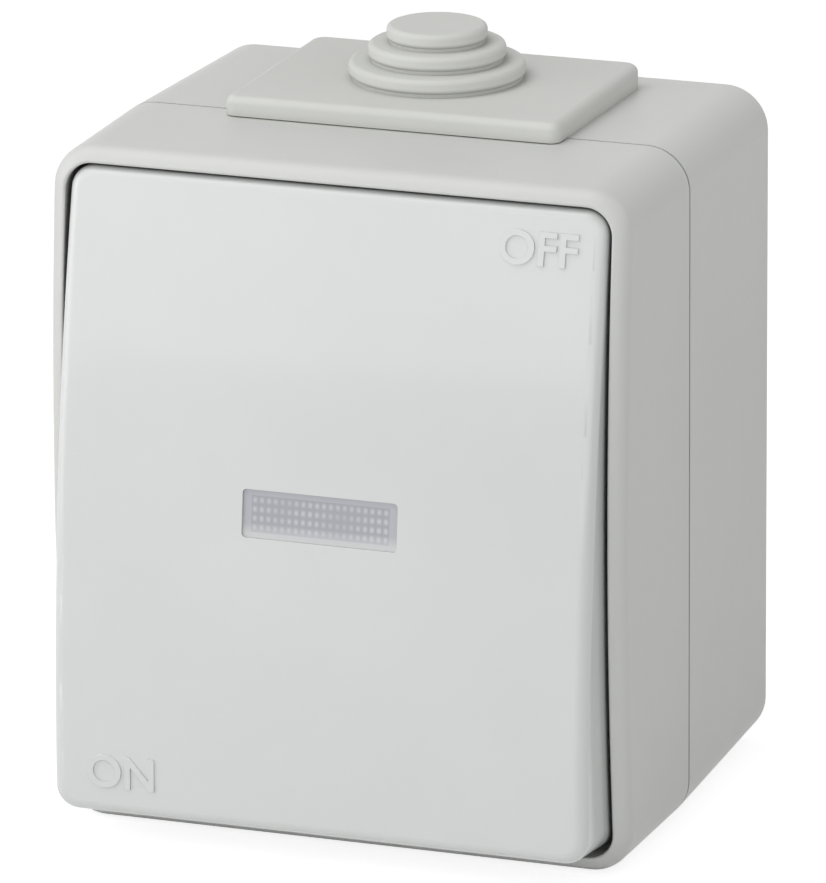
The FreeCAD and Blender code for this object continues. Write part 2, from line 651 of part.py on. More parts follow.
# Soft diaphragm over the deck opening, with a collar that grips each fin
def actuator_seal():
    size = (2 * SEAL_HALF_X, 2 * SEAL_HALF_Z, SEAL_CORNER)
    hollow = [part - 2 * SEAL_WALL for part in size[:2]] + [SEAL_CORNER - SEAL_WALL]
    cap = slab(*size, SEAL_REAR, SEAL_FRONT)
    flange_size = [part + 2 * SEAL_FLANGE_WIDTH for part in size[:2]] + [SEAL_CORNER]
    cap = cap.fuse(slab(*flange_size, SEAL_REAR, DECK_REAR)).removeSplitter()
    cap = cap.cut(slab(*hollow, SEAL_REAR, SEAL_FRONT - SEAL_WALL))
    middle = SEAL_FRONT - SEAL_WALL / 2
    rear, front = about(middle, SEAL_COLLAR_HEIGHT / 2)
    collars = [drive_fin(side, SEAL_COLLAR_WALL, rear, front) for side in SIDES]
    sleeves = [drive_fin(side, FIN_SLEEVE_GAP, rear - PASS, front + PASS) for side in SIDES]
    cap = joined(cap, [tilted(collar, ROCKER_PIVOT, -ROCKER_TILT) for collar in collars])
    return without(cap, [tilted(sleeve, ROCKER_PIVOT, -ROCKER_TILT) for sleeve in sleeves])


def seal_retainer():
    half_x = SEAL_HALF_X + SEAL_FLANGE_WIDTH + RETAINER_SIDE_MARGIN
    half_z = SEAL_HALF_Z + SEAL_FLANGE_WIDTH + RETAINER_MARGIN
    plate = slab(2 * half_x, 2 * half_z, SEAL_CORNER, RETAINER_REAR, SEAL_REAR)
    opening = (2 * (SEAL_HALF_X - SEAL_WALL), 2 * (SEAL_HALF_Z - SEAL_WALL), SEAL_CORNER - SEAL_WALL)
    cutters = [slab(*opening, RETAINER_REAR - PASS, SEAL_REAR + PASS)]
    for x, z in PEG_PLACES:
        cutters.append(rod_forward(PEG_RADIUS + SCREW_GAP, x, z, RETAINER_REAR - PASS, SEAL_REAR + PASS))
    return without(plate, cutters)


def strip_slot(side):
    x_span = about(side * TERMINAL_X, STRIP_WIDTH / 2 + STRIP_SLOT_GAP)
    depth_span = (BASE_SEAT, STRIP_FRONT + STRIP_SLOT_GAP)
    return block(x_span, depth_span, (0, POCKET_BOTTOM + PASS))


def switch_base():
    cup = slab(2 * BASE_HALF_X, 2 * BASE_HALF_Z, BASE_CORNER, BASE_REAR, BASE_FRONT)
    terminal_block = block(
        about(0, TERMINAL_BLOCK_HALF_X), (BASE_REAR, BLOCK_FRONT), (BASE_HALF_Z - BASE_WALL, BLOCK_TOP)
    )
    additions = [terminal_block]
    for side in SIDES:
        ear_x = sorted((side * (BASE_HALF_X - BASE_WALL), side * (BASE_HALF_X + EAR_REACH)))
        additions.append(block(ear_x, (EAR_REAR, EAR_FRONT), about(0, EAR_HALF_Z)))
    for x, z in LID_PEG_PLACES:
        additions.append(rod_forward(LID_PEG_RADIUS, x, z, BASE_FRONT - PASS, LID_FRONT))
    base = joined(cup, additions)
    cavity_x = about(0, BASE_HALF_X - BASE_WALL)
    cavity_z = about(0, BASE_HALF_Z - BASE_WALL)
    cutters = [block(cavity_x, (BASE_SEAT, LID_FRONT), cavity_z)]
    for side in SIDES:
        pocket_x = about(side * TERMINAL_X, CAGE_HALF_X + POCKET_GAP)
        pocket_depth = (CAGE_REAR, BLOCK_FRONT + PASS)
        cutters.append(block(pocket_x, pocket_depth, (POCKET_BOTTOM, BLOCK_TOP + PASS)))
        cutters.append(strip_slot(side))
        ear_hole = SCREW_RADIUS + SLEEVE_BORE_GAP
        cutters.append(rod_forward(ear_hole, side * EAR_SCREW_X, 0, EAR_REAR - PASS, EAR_FRONT + PASS))
    cutters.append(rod_across(AXLE_RADIUS + SCREW_GAP, -BASE_HALF_X - PASS, BASE_HALF_X + PASS, TOGGLE_PIVOT, 0))
    for cutter in cutters:
        base = base.cut(cutter)
    return base


def switch_lid():
    lid = slab(2 * BASE_HALF_X, 2 * BASE_HALF_Z, BASE_CORNER, BASE_FRONT, LID_FRONT)
    cutters = []
    for side in SIDES:
        slot_x = about(side * FIN_X, ARM_WIDTH / 2 + LID_SLOT_ROOM)
        cutters.append(block(slot_x, (BASE_FRONT - PASS, LID_FRONT + PASS), about(0, LID_SLOT_HALF_Z)))
    for x, z in LID_PEG_PLACES:
        cutters.append(rod_forward(LID_PEG_RADIUS + SCREW_GAP, x, z, BASE_FRONT - PASS, LID_FRONT + PASS))
    return without(lid, cutters)


def mechanism_screws():
    size = (EAR_FRONT, MECHANISM_SCREW_LENGTH, SCREW_HEAD_RADIUS, SCREW_HEAD_HEIGHT)
    return Part.makeCompound([slotted_screw(side * EAR_SCREW_X, 0, *size) for side in SIDES])


# Flat strip that leads from a terminal down along the floor of the base
def terminal_strip(side, bottom):
    x_span = about(side * TERMINAL_X, STRIP_WIDTH / 2)
    return block(x_span, (BASE_SEAT, STRIP_FRONT), (bottom, CAGE_TOP))


def common_terminal():
    strip = terminal_strip(-1, -STRIP_WIDTH / 2)
    foot_x = (-TERMINAL_X - STRIP_WIDTH / 2, FULCRUM_HALF_X)
    foot = block(foot_x, (BASE_SEAT, STRIP_FRONT), about(0, STRIP_WIDTH / 2))
    blade_x = about(0, FULCRUM_HALF_X)
    blade = block(blade_x, (BASE_SEAT, CONTACT_PIVOT), about(0, FULCRUM_THICKNESS / 2))
    edge = rod_across(FULCRUM_THICKNESS / 2, *blade_x, CONTACT_PIVOT, 0)
    return joined(strip, [foot, blade, edge])


def switched_terminal():
    bottom = -CONTACT_Z - STRIP_WIDTH / 2
    strip = terminal_strip(1, bottom)
    foot_x = (-STRIP_WIDTH / 2, TERMINAL_X + STRIP_WIDTH / 2)
    foot = block(foot_x, (BASE_SEAT, STRIP_FRONT), about(-CONTACT_Z, STRIP_WIDTH / 2))
    return strip.fuse(foot).removeSplitter()


# Domed rivet head whose top meets the moving contact when the switch is on
def fixed_contact():
    tilt = math.radians(CONTACT_TILT)
    below_axis = CONTACT_HEIGHT - LEVER_LIFT
    closed_face = CONTACT_PIVOT - below_axis * math.cos(tilt) - CONTACT_Z * math.sin(tilt)
    top = closed_face - CONTACT_CLOSED_GAP
    head = rod_forward(CONTACT_RADIUS, 0, -CONTACT_Z, STRIP_FRONT, top)
    dome_radius = arch_radius(CONTACT_RADIUS, CONTACT_DOME)
    return head.common(Part.makeSphere(dome_radius, at(0, top - dome_radius, -CONTACT_Z)))


def terminal_clamps():
    cages = []
    for side in SIDES:
        z_span = (CAGE_BOTTOM, CAGE_TOP)
        cage = block(about(side * TERMINAL_X, CAGE_HALF_X), (CAGE_REAR, CAGE_FRONT), z_span)
        opening_x = about(side * TERMINAL_X, CAGE_HALF_X - CAGE_WALL)
        cage = cage.cut(block(opening_x, (BASE_SEAT, CAGE_INNER_FRONT), z_span))
        middle = (CAGE_BOTTOM + CAGE_TOP) / 2
        hole = rod_forward(SCREW_RADIUS + SCREW_GAP, side * TERMINAL_X, middle, CAGE_INNER_FRONT, CAGE_FRONT)
        cages.append(cage.cut(hole))
    return Part.makeCompound(cages)


def terminal_screws():
    seat = CAGE_FRONT + TERMINAL_SCREW_STANDS_OUT
    wire_front = LEAD_SEAT + LEAD_RADIUS + LEAD_GAP
    size = (seat, seat - wire_front, TERMINAL_SCREW_HEAD_RADIUS, TERMINAL_SCREW_HEAD_HEIGHT)
    middle = (CAGE_BOTTOM + CAGE_TOP) / 2
    return Part.makeCompound([slotted_screw(side * TERMINAL_X, middle, *size) for side in SIDES])


# See-saw lever with two small ribs that straddle the fulcrum
def contact_bridge():
    x_span = about(0, LEVER_HALF_X)
    lever = block(x_span, (LEVER_REAR, LEVER_FRONT), about(0, LEVER_HALF_Z))
    ribs = []
    for side in SIDES:
        inner = side * LEVER_RIB_OFFSET
        z_span = sorted((inner, inner + side * LEVER_RIB_THICKNESS))
        ribs.append(block(x_span, (LEVER_REAR - LEVER_RIB_HEIGHT, LEVER_REAR), z_span))
    return tilted(joined(lever, ribs), CONTACT_PIVOT, -CONTACT_TILT)


def moving_contact():
    head = rod_forward(CONTACT_RADIUS, 0, -CONTACT_Z, LEVER_REAR - CONTACT_HEIGHT, LEVER_REAR)
    return tilted(head, CONTACT_PIVOT, -CONTACT_TILT)


# Yoke with two forks for the rocker's fins and a guide for the spring plunger
def toggle_lever():
    hub_half = BASE_HALF_X - BASE_WALL - HUB_END_GAP
    hub = rod_across(HUB_RADIUS, -hub_half, hub_half, TOGGLE_PIVOT, 0)
    guide_rear = PLUNGER_BALL + GUIDE_SHORT
    additions = [rod_forward(GUIDE_RADIUS, 0, 0, guide_rear, TOGGLE_PIVOT)]
    arm_front = FIN_TIP + ARM_PAST_FIN
    for side in SIDES:
        arm_x = about(side * FIN_X, ARM_WIDTH / 2)
        additions.append(block(arm_x, (TOGGLE_PIVOT, arm_front), about(0, ARM_HALF_Z)))
    lever = joined(hub, additions)
    slot_half = FIN_TIP_RADIUS + FORK_GAP
    slot_rear = FIN_TIP - FIN_TIP_RADIUS - FORK_BOTTOM_ROOM
    for side in SIDES:
        slot_x = about(side * FIN_X, ARM_WIDTH / 2 + PASS)
        lever = lever.cut(block(slot_x, (slot_rear, arm_front + PASS), about(0, slot_half)))
    lever = lever.cut(rod_across(AXLE_RADIUS + RUNNING_GAP, -hub_half, hub_half, TOGGLE_PIVOT, 0))
    bore_radius = PLUNGER_RADIUS + RUNNING_GAP
    lever = lever.cut(rod_forward(bore_radius, 0, 0, guide_rear, TOGGLE_PIVOT - SPRING_SEAT))
    return tilted(lever, TOGGLE_PIVOT, TOGGLE_TILT)


def toggle_axle():
    half = BASE_HALF_X - AXLE_SHORT
    return rod_across(AXLE_RADIUS, -half, half, TOGGLE_PIVOT, 0)


def contact_plunger():
    stem = rod_forward(PLUNGER_RADIUS, 0, 0, PLUNGER_BALL, PLUNGER_TIP + PLUNGER_LENGTH)
    ball = Part.makeSphere(PLUNGER_RADIUS, at(0, PLUNGER_BALL, 0))
    return tilted(stem.fuse(ball).removeSplitter(), TOGGLE_PIVOT, TOGGLE_TILT)


def drive_spring():
    rear = PLUNGER_TIP + PLUNGER_LENGTH + SPRING_WIRE_RADIUS + PLUNGER_GAP
    front = TOGGLE_PIVOT - SPRING_SEAT - SPRING_WIRE_RADIUS - PLUNGER_GAP
    height = front - rear
    pitch = height / SPRING_TURNS
    helix = Part.makeLongHelix(pitch, height, SPRING_RADIUS)
    start = FreeCAD.Vector(SPRING_RADIUS, 0, 0)
    along_wire = FreeCAD.Vector(0, 2 * math.pi * SPRING_RADIUS, pitch)
    section = Part.Wire(Part.makeCircle(SPRING_WIRE_RADIUS, start, along_wire))
    coil = Part.Wire(helix).makePipeShell([section], True, True)
    coil = coil.rotated(FreeCAD.Vector(), ACROSS, 90).translated(at(0, rear, 0))
    return tilted(coil, TOGGLE_PIVOT, TOGGLE_TILT)


def lamp_board():
    return block(about(0, BOARD_HALF_X), (LID_FRONT, BOARD_FRONT), about(0, BOARD_HALF_Z))


def indicator_lamp():
    dome_rear = BOARD_FRONT + LAMP_HEIGHT - LAMP_RADIUS
    foot = rod_forward(LAMP_FOOT_RADIUS, 0, 0, BOARD_FRONT, BOARD_FRONT + LAMP_FOOT_HEIGHT)
    body = rod_forward(LAMP_RADIUS, 0, 0, BOARD_FRONT, dome_rear)
    dome = Part.makeSphere(LAMP_RADIUS, at(0, dome_rear, 0))
    return joined(foot, [body, dome])


def lamp_resistor():
    depth = BOARD_FRONT + RESISTOR_CAP_RADIUS
    half = RESISTOR_LENGTH / 2
    body = rod_across(RESISTOR_RADIUS, -half, half, depth, RESISTOR_Z)
    caps = []
    for side in SIDES:
        cap = sorted((side * (half - RESISTOR_CAP_LENGTH), side * half))
        caps.append(rod_across(RESISTOR_CAP_RADIUS, *cap, depth, RESISTOR_Z))
    return joined(body, caps)


# Lead from the lamp board over the lid and down into a terminal
def lamp_lead(x):
    along = LID_FRONT + LEAD_RADIUS + LEAD_GAP
    turn = LEAD_BEND_RADIUS
    far = BLOCK_TOP + LEAD_PAST_BLOCK
    cut = turn * (1 - math.cos(math.radians(45)))
    points = [
        at(x, along, BOARD_HALF_Z), at(x, along, far - turn), at(x, along - cut, far - cut),
        at(x, along - turn, far), at(x, LEAD_SEAT + turn, far), at(x, LEAD_SEAT + cut, far - cut),
        at(x, LEAD_SEAT, far - turn), at(x, LEAD_SEAT, CAGE_TOP - LEAD_IN_CAGE),
    ]
    path = Part.Wire([
        Part.LineSegment(points[0], points[1]).toShape(),
        Part.Arc(*points[1:4]).toShape(),
        Part.LineSegment(points[3], points[4]).toShape(),
        Part.Arc(*points[4:7]).toShape(),
        Part.LineSegment(points[6], points[7]).toShape(),
    ])
    section = Part.Wire(Part.makeCircle(LEAD_RADIUS, points[0], UP))
    return path.makePipeShell([section], True, False)


def lamp_leads():
    return Part.makeCompound([lamp_lead(side * LEAD_X) for side in SIDES])


def main():
    box = back_box()
    nodes = {
        "back_box": box,
        "front_cover": front_cover(),
        "cover_gasket": cover_gasket(),
        "cable_entry": cable_entry(box),
        "cover_screws": cover_screws(),
        "cover_screw_seals": cover_screw_seals(),
        "rocker": rocker(),
        "indicator_lens": indicator_lens(),
        "actuator_seal": actuator_seal(),
        "seal_retainer": seal_retainer(),
        "switch_base": switch_base(),
        "switch_lid": switch_lid(),
        "mechanism_screws": mechanism_screws(),
        "common_terminal": common_terminal(),
        "switched_terminal": switched_terminal(),
        "terminal_clamps": terminal_clamps(),
        "terminal_screws": terminal_screws(),
        "fixed_contact": fixed_contact(),
        "contact_bridge": contact_bridge(),
        "moving_contact": moving_contact(),
        "toggle_lever": toggle_lever(),
        "toggle_axle": toggle_axle(),
        "contact_plunger": contact_plunger(),
        "drive_spring": drive_spring(),
        "lamp_board": lamp_board(),
        "indicator_lamp": indicator_lamp(),
        "lamp_resistor": lamp_resistor(),
        "lamp_leads": lamp_leads(),
    }
    os.makedirs("parts", exist_ok=True)
    for name, shape in nodes.items():
        shape.exportStep("parts/" + name + ".step")


main()
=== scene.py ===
import json
import math
import bmesh
import bpy
from mathutils import Color, Matrix, Vector


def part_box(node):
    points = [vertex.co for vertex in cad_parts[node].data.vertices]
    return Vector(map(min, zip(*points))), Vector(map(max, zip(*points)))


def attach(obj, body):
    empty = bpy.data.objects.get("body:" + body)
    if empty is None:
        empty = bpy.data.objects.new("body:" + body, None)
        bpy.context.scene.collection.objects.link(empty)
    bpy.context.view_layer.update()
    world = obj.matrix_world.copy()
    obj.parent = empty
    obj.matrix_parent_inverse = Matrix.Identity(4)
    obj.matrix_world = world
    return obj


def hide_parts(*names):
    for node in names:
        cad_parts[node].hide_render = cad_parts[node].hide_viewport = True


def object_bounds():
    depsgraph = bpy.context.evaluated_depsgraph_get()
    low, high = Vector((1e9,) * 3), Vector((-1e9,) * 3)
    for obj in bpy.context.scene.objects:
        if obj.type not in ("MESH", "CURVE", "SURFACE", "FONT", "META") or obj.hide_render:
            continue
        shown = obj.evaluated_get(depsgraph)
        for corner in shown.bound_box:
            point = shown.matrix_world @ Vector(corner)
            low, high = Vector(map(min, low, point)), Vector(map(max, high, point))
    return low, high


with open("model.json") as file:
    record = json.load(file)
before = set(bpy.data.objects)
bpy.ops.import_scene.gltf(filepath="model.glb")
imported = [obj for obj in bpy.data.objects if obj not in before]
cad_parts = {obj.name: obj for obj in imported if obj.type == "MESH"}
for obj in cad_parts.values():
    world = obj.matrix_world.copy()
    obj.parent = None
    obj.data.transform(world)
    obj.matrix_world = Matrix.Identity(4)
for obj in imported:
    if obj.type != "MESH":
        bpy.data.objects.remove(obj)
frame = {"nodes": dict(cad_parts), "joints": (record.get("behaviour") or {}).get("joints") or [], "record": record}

# Surface-mounted weatherproof rocker switch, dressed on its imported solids. Metres, +X right, -Y front, +Z up.
MM = 0.001
cad_low, cad_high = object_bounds()

# Camera of the photograph: where it stands, what it looks at, its roll in degrees and its lens
CAMERA_PLACE = Vector((347.13, -969.91, 306.84)) * MM
CAMERA_AIM = Vector((-7.80, -4.69, -5.67)) * MM
CAMERA_ROLL = -0.42
CAMERA_LENS = 384.8

# Soft studio light panels: azimuth from the front, elevation and roll in degrees, metres and watts
PANELS = {
    "key": {
        "azimuth": -42, "elevation": 19.4, "distance": 0.34,
        "size": (0.43, 0.239), "power": 0.288, "roll": 10,
    },
    "left": {
        "azimuth": -62, "elevation": 4, "distance": 0.27,
        "size": (0.2, 0.2), "power": 0.11, "roll": 0,
    },
    "top": {
        "azimuth": -50, "elevation": 65, "distance": 0.5,
        "size": (0.4, 0.4), "power": 1.032, "roll": 0,
    },
    "side": {
        "azimuth": 85, "elevation": 42, "distance": 0.17,
        "size": (0.1, 0.1), "power": 0.025, "roll": 0,
    },
    "front": {
        "azimuth": 28, "elevation": 2, "distance": 0.5,
        "size": (0.6, 0.5), "power": 1.214, "roll": 0,
    },
}
AMBIENT_STRENGTH = 0.315
FLOOR_SIZE = 6.0
FLOOR_COLOUR = (220, 220, 220)
FLOOR_SEEN_COLOUR = (172, 172, 172)
FLOOR_SEEN_GLOW = 0.82

# Shade deep in gaps: how far a surface feels its neighbours, how open the deepest place still is, and rays
GAP_REACH = 1.5 * MM
GROOVE_REACH = 2.2 * MM
DEEPEST_OPENING = 0.1
SHELTER_RAYS = 4

# These steps keep the painted gap shade off the parting line across the case's top and bottom
# Parting line: where it starts and ends from the wall, and steps along that depth and along the width
SEAM_REAR = 29.1 * MM
SEAM_FRONT = 29.85 * MM
SEAM_STEPS = ((0.0, 1.0), (0.1, 0.0), (0.9, 0.0), (1.0, 1.0))
SIDE_STEPS = ((0.0, 1.0), (0.03, 1.0), (0.05, 0.0), (0.95, 0.0), (0.97, 1.0), (1.0, 1.0))

# Rocker, as its solid has it
ROCKER_HEIGHT = 72.18 * MM
ROCKER_SAG = 2.2 * MM
ROCKER_APEX = 55.6 * MM
ROCKER_ARCH = ((ROCKER_HEIGHT / 2) ** 2 + ROCKER_SAG ** 2) / (2 * ROCKER_SAG)

# Indicator window: its visible face, the grid moulded behind it, and the flange and legs at its back
WINDOW_WIDTH = 17.99 * MM
WINDOW_HEIGHT = 5.39 * MM
WINDOW_DROP = 0.35 * MM
WINDOW_CORNER = 0.5 * MM
WINDOW_EDGE = 0.02 * MM
WINDOW_FACE = 55.3 * MM
WINDOW_REAR = 52.3 * MM
GRID_COLUMNS = 20
GRID_ROWS = 4
GRID_PITCH_X = 0.80 * MM
GRID_PITCH_Z = 1.02 * MM
# Painted light on the window's grid: it fades into a paler margin between these shares of its height
GRID_PAINTED_FADE_TOP = 0.42  # share of the solid's height where the fade starts
GRID_PAINTED_FADE_BOTTOM = 0.18  # and where it ends
FLANGE_WIDTH = 20.6 * MM
FLANGE_HEIGHT = 8.0 * MM
FLANGE_THICKNESS = 1.2 * MM
LEG_X = 5.4 * MM
LEG_WIDTH = 3.0 * MM
LEG_HEIGHT = 3.4 * MM
LEG_LENGTH = 2.0 * MM

# Raised words on the rocker
WORD_HEIGHT = 5.2 * MM
WORD_RISE = 0.2 * MM
WORD_EDGE = 0.04 * MM
WORD_BOLD = 0.06 * MM
ON_PLACE = (-22.9 * MM, -31.4 * MM)
OFF_PLACE = (23.5 * MM, 31.2 * MM)


def joint_named(name):
    return next(joint for joint in frame["joints"] if joint["name"] == name)


ROCKER_JOINT = joint_named("rocker_tilt")
ROCKER_PIVOT = Vector(ROCKER_JOINT["pos_m"])
ROCKER_TILT = math.radians(sum(ROCKER_JOINT["range_deg"]) / 2)

# Places closer than this, in metres, are the same place
SAME_PLACE = 1e-7

# Turns a piece drawn flat, facing +Z, to face the front
FACE_FRONT = Matrix.Rotation(math.radians(90), 4, "X")


# Leans a piece drawn for an upright rocker to the way the rocker rests
def rest_lean():
    turn = Matrix.Rotation(-ROCKER_TILT, 4, "X")
    return Matrix.Translation(ROCKER_PIVOT) @ turn @ Matrix.Translation(-ROCKER_PIVOT)


def srgb(red, green, blue):
    return (*Color((red / 255, green / 255, blue / 255)).from_srgb_to_scene_linear(), 1.0)


# Adds a finished mesh to the scene as a piece that moves with a body and takes a slot's finish
def add_piece(name, mesh, body, materials):
    for material in materials:
        mesh.materials.append(material)
    piece = bpy.data.objects.new(name, mesh)
    bpy.context.scene.collection.objects.link(piece)
    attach(piece, body)
    return piece


# Starts a material whose fixed values sit on its shader's own sockets
def start_material(name, colour, roughness, sockets):
    material = bpy.data.materials.new(name)
    material.use_nodes = True
    shader = material.node_tree.nodes["Principled BSDF"]
    shader.inputs["Base Color"].default_value = srgb(*colour)
    shader.inputs["Roughness"].default_value = roughness
    for socket, value in sockets.items():
        shader.inputs[socket].default_value = value
    return material


def add_noise(material, scale, detail, stretch=(1, 1, 1)):
    nodes = material.node_tree.nodes
    links = material.node_tree.links
    place = nodes.new("ShaderNodeTexCoord")
    mapping = nodes.new("ShaderNodeMapping")
    mapping.inputs["Scale"].default_value = stretch
    noise = nodes.new("ShaderNodeTexNoise")
    noise.inputs["Scale"].default_value = scale
    noise.inputs["Detail"].default_value = detail
    links.new(place.outputs["Object"], mapping.inputs["Vector"])
    links.new(mapping.outputs["Vector"], noise.inputs["Vector"])
    return noise


# Lets the colour drift between two tones
def add_tones(material, noise, first, second):
    nodes = material.node_tree.nodes
    links = material.node_tree.links
    ramp = nodes.new("ShaderNodeValToRGB")
    ramp.color_ramp.elements[0].position = 0.3
    ramp.color_ramp.elements[0].color = srgb(*first)
    ramp.color_ramp.elements[1].position = 0.7
    ramp.color_ramp.elements[1].color = srgb(*second)
    links.new(noise.outputs["Fac"], ramp.inputs["Fac"])
    links.new(ramp.outputs["Color"], nodes["Principled BSDF"].inputs["Base Color"])
    return ramp


def add_roughness(material, noise, low, high):
    nodes = material.node_tree.nodes
    links = material.node_tree.links
    spread = nodes.new("ShaderNodeMapRange")
    spread.inputs["To Min"].default_value = low
    spread.inputs["To Max"].default_value = high
    links.new(noise.outputs["Fac"], spread.inputs["Value"])
    links.new(spread.outputs["Result"], nodes["Principled BSDF"].inputs["Roughness"])


def add_bump(material, noise, strength, distance):
    nodes = material.node_tree.nodes
    links = material.node_tree.links
    bump = nodes.new("ShaderNodeBump")
    bump.inputs["Strength"].default_value = strength
    bump.inputs["Distance"].default_value = distance
    links.new(noise.outputs["Fac"], bump.inputs["Height"])
    links.new(bump.outputs["Normal"], nodes["Principled BSDF"].inputs["Normal"])


# Moulded plastic: two close tones, uneven gloss, and a fine grain or a broad waviness
def moulded_plastic(name, first, second, gloss, grain_size, grain_depth, sockets):
    material = start_material(name, first, gloss[0], sockets)
    add_tones(material, add_noise(material, scale=45, detail=3), first, second)
    add_roughness(material, add_noise(material, scale=500, detail=2), *gloss)
    grain = add_noise(material, scale=1 / grain_size, detail=2)
    add_bump(material, grain, strength=0.5, distance=grain_depth)
    return material


# Runs from 0 to 1 between two places along an axis of the object
def measure_along(material, axis, start, end):
    nodes = material.node_tree.nodes
    links = material.node_tree.links
    place = nodes.new("ShaderNodeTexCoord")
    split = nodes.new("ShaderNodeSeparateXYZ")
    along = nodes.new("ShaderNodeMapRange")
    along.inputs["From Min"].default_value = start
    along.inputs["From Max"].default_value = end
    links.new(place.outputs["Object"], split.inputs["Vector"])
    links.new(split.outputs[axis], along.inputs["Value"])
    return along


# Black and white steps along a measured length, as places and their brightness
def add_steps(material, along, steps):
    ramp = material.node_tree.nodes.new("ShaderNodeValToRGB")
    stops = ramp.color_ramp.elements
    stops.remove(stops[1])
    for position, brightness in steps:
        stops.new(position).color = (brightness, brightness, brightness, 1)
    stops.remove(stops[0])
    material.node_tree.links.new(along.outputs["Result"], ramp.inputs["Fac"])
    return ramp


# Runs from 0 where the surroundings are as open as given, to 1 deep in a gap
def measure_shelter(material, reach, opening):
    nodes = material.node_tree.nodes
    shelter = nodes.new("ShaderNodeAmbientOcclusion")
    shelter.samples = SHELTER_RAYS
    shelter.inputs["Distance"].default_value = reach
    depth = nodes.new("ShaderNodeMapRange")
    depth.inputs["From Min"].default_value = opening
    depth.inputs["From Max"].default_value = DEEPEST_OPENING
    material.node_tree.links.new(shelter.outputs["AO"], depth.inputs["Value"])
    return depth


# Takes the colour over to another by a measured amount, for painted shade and painted light
def paint_shading(material, amount, shade):
    nodes = material.node_tree.nodes
    links = material.node_tree.links
    colour = nodes["Principled BSDF"].inputs["Base Color"]
    shaded = nodes.new("ShaderNodeMix")
    shaded.data_type = "RGBA"
    shaded.inputs["B"].default_value = srgb(*shade)
    links.new(amount, shaded.inputs["Factor"])
    links.new(colour.links[0].from_socket, shaded.inputs["A"])
    links.new(shaded.outputs["Result"], colour)


# Metal with marks drawn out along one direction
def drawn_metal(name, first, second, gloss, stretch):
    material = start_material(name, first, gloss[0], {"Metallic": 1.0})
    add_tones(material, add_noise(material, scale=300, detail=4, stretch=stretch), first, second)
    add_roughness(material, add_noise(material, scale=900, detail=3, stretch=stretch), *gloss)
    marks = add_noise(material, scale=2500, detail=2, stretch=stretch)
    add_bump(material, marks, strength=0.4, distance=0.01 * MM)
    return material


# Case plastic with painted shade deep in its gaps, except in the parting line across its top and bottom
def case_plastic():
    tones = ((206, 207, 204), (203, 204, 201))
    material = moulded_plastic(
        "case_plastic", *tones,
        gloss=(0.38, 0.46), grain_size=0.35 * MM, grain_depth=0.006 * MM, sockets={"IOR": 1.5},
    )
    nodes = material.node_tree.nodes
    links = material.node_tree.links
    clear_of_seam = add_steps(material, measure_along(material, "Y", -SEAM_FRONT, -SEAM_REAR), SEAM_STEPS)
    aside = add_steps(material, measure_along(material, "X", cad_low.x, cad_high.x), SIDE_STEPS)
    place = nodes.new("ShaderNodeMath")
    place.operation = "MAXIMUM"
    amount = nodes.new("ShaderNodeMath")
    amount.operation = "MULTIPLY"
    depth = measure_shelter(material, reach=GAP_REACH, opening=0.45)
    links.new(clear_of_seam.outputs["Color"], place.inputs[0])
    links.new(aside.outputs["Color"], place.inputs[1])
    links.new(place.outputs["Value"], amount.inputs[0])
    links.new(depth.outputs["Result"], amount.inputs[1])
    paint_shading(material, amount.outputs["Value"], (80, 80, 79))
    return material


def rocker_plastic():
    tones = ((215, 217, 216), (212, 214, 213))
    material = moulded_plastic(
        "rocker_plastic", *tones,
        gloss=(0.1, 0.13), grain_size=30 * MM, grain_depth=0.2 * MM, sockets={"IOR": 1.52},
    )
    # Painted shade deep in the gaps round the rocker
    depth = measure_shelter(material, reach=GAP_REACH, opening=0.3)
    paint_shading(material, depth.outputs["Result"], (70, 70, 70))
    return material


def entry_rubber():
    tones = ((209, 210, 206), (205, 206, 202))
    sockets = {"IOR": 1.45, "Sheen Weight": 0.1, "Sheen Roughness": 0.5}
    material = moulded_plastic(
        "entry_rubber", *tones,
        gloss=(0.58, 0.68), grain_size=0.2 * MM, grain_depth=0.006 * MM, sockets=sockets,
    )
    # Painted shade deep in the grooves and corners of the cable entry
    depth = measure_shelter(material, reach=GROOVE_REACH, opening=0.7)
    paint_shading(material, depth.outputs["Result"], (158, 158, 154))
    return material


# Milky silicone that lets some light through
def seal_rubber():
    tones = ((219, 219, 214), (213, 213, 208))
    sockets = {"Subsurface Weight": 0.3, "Subsurface Scale": 2 * MM, "IOR": 1.41}
    return moulded_plastic(
        "seal_rubber", *tones,
        gloss=(0.45, 0.55), grain_size=0.2 * MM, grain_depth=0.006 * MM, sockets=sockets,
    )


def gasket_rubber():
    tones = ((44, 45, 46), (38, 39, 40))
    return moulded_plastic(
        "gasket_rubber", *tones,
        gloss=(0.6, 0.75), grain_size=0.15 * MM, grain_depth=0.01 * MM, sockets={},
    )


def mechanism_plastic():
    tones = ((230, 227, 219), (223, 220, 211))
    return moulded_plastic(
        "mechanism_plastic", *tones,
        gloss=(0.4, 0.5), grain_size=0.3 * MM, grain_depth=0.008 * MM, sockets={},
    )


def toggle_plastic():
    tones = ((236, 235, 230), (230, 229, 223))
    sockets = {"Subsurface Weight": 0.1, "Subsurface Scale": 1 * MM}
    return moulded_plastic(
        "toggle_plastic", *tones,
        gloss=(0.32, 0.4), grain_size=0.3 * MM, grain_depth=0.004 * MM, sockets=sockets,
    )


def lead_insulation():
    tones = ((80, 80, 84), (73, 73, 77))
    return moulded_plastic(
        "lead_insulation", *tones,
        gloss=(0.4, 0.5), grain_size=0.2 * MM, grain_depth=0.006 * MM, sockets={},
    )


def board_laminate():
    tones = ((184, 158, 107), (172, 146, 96))
    return moulded_plastic(
        "board_laminate", *tones,
        gloss=(0.45, 0.6), grain_size=0.25 * MM, grain_depth=0.01 * MM, sockets={},
    )


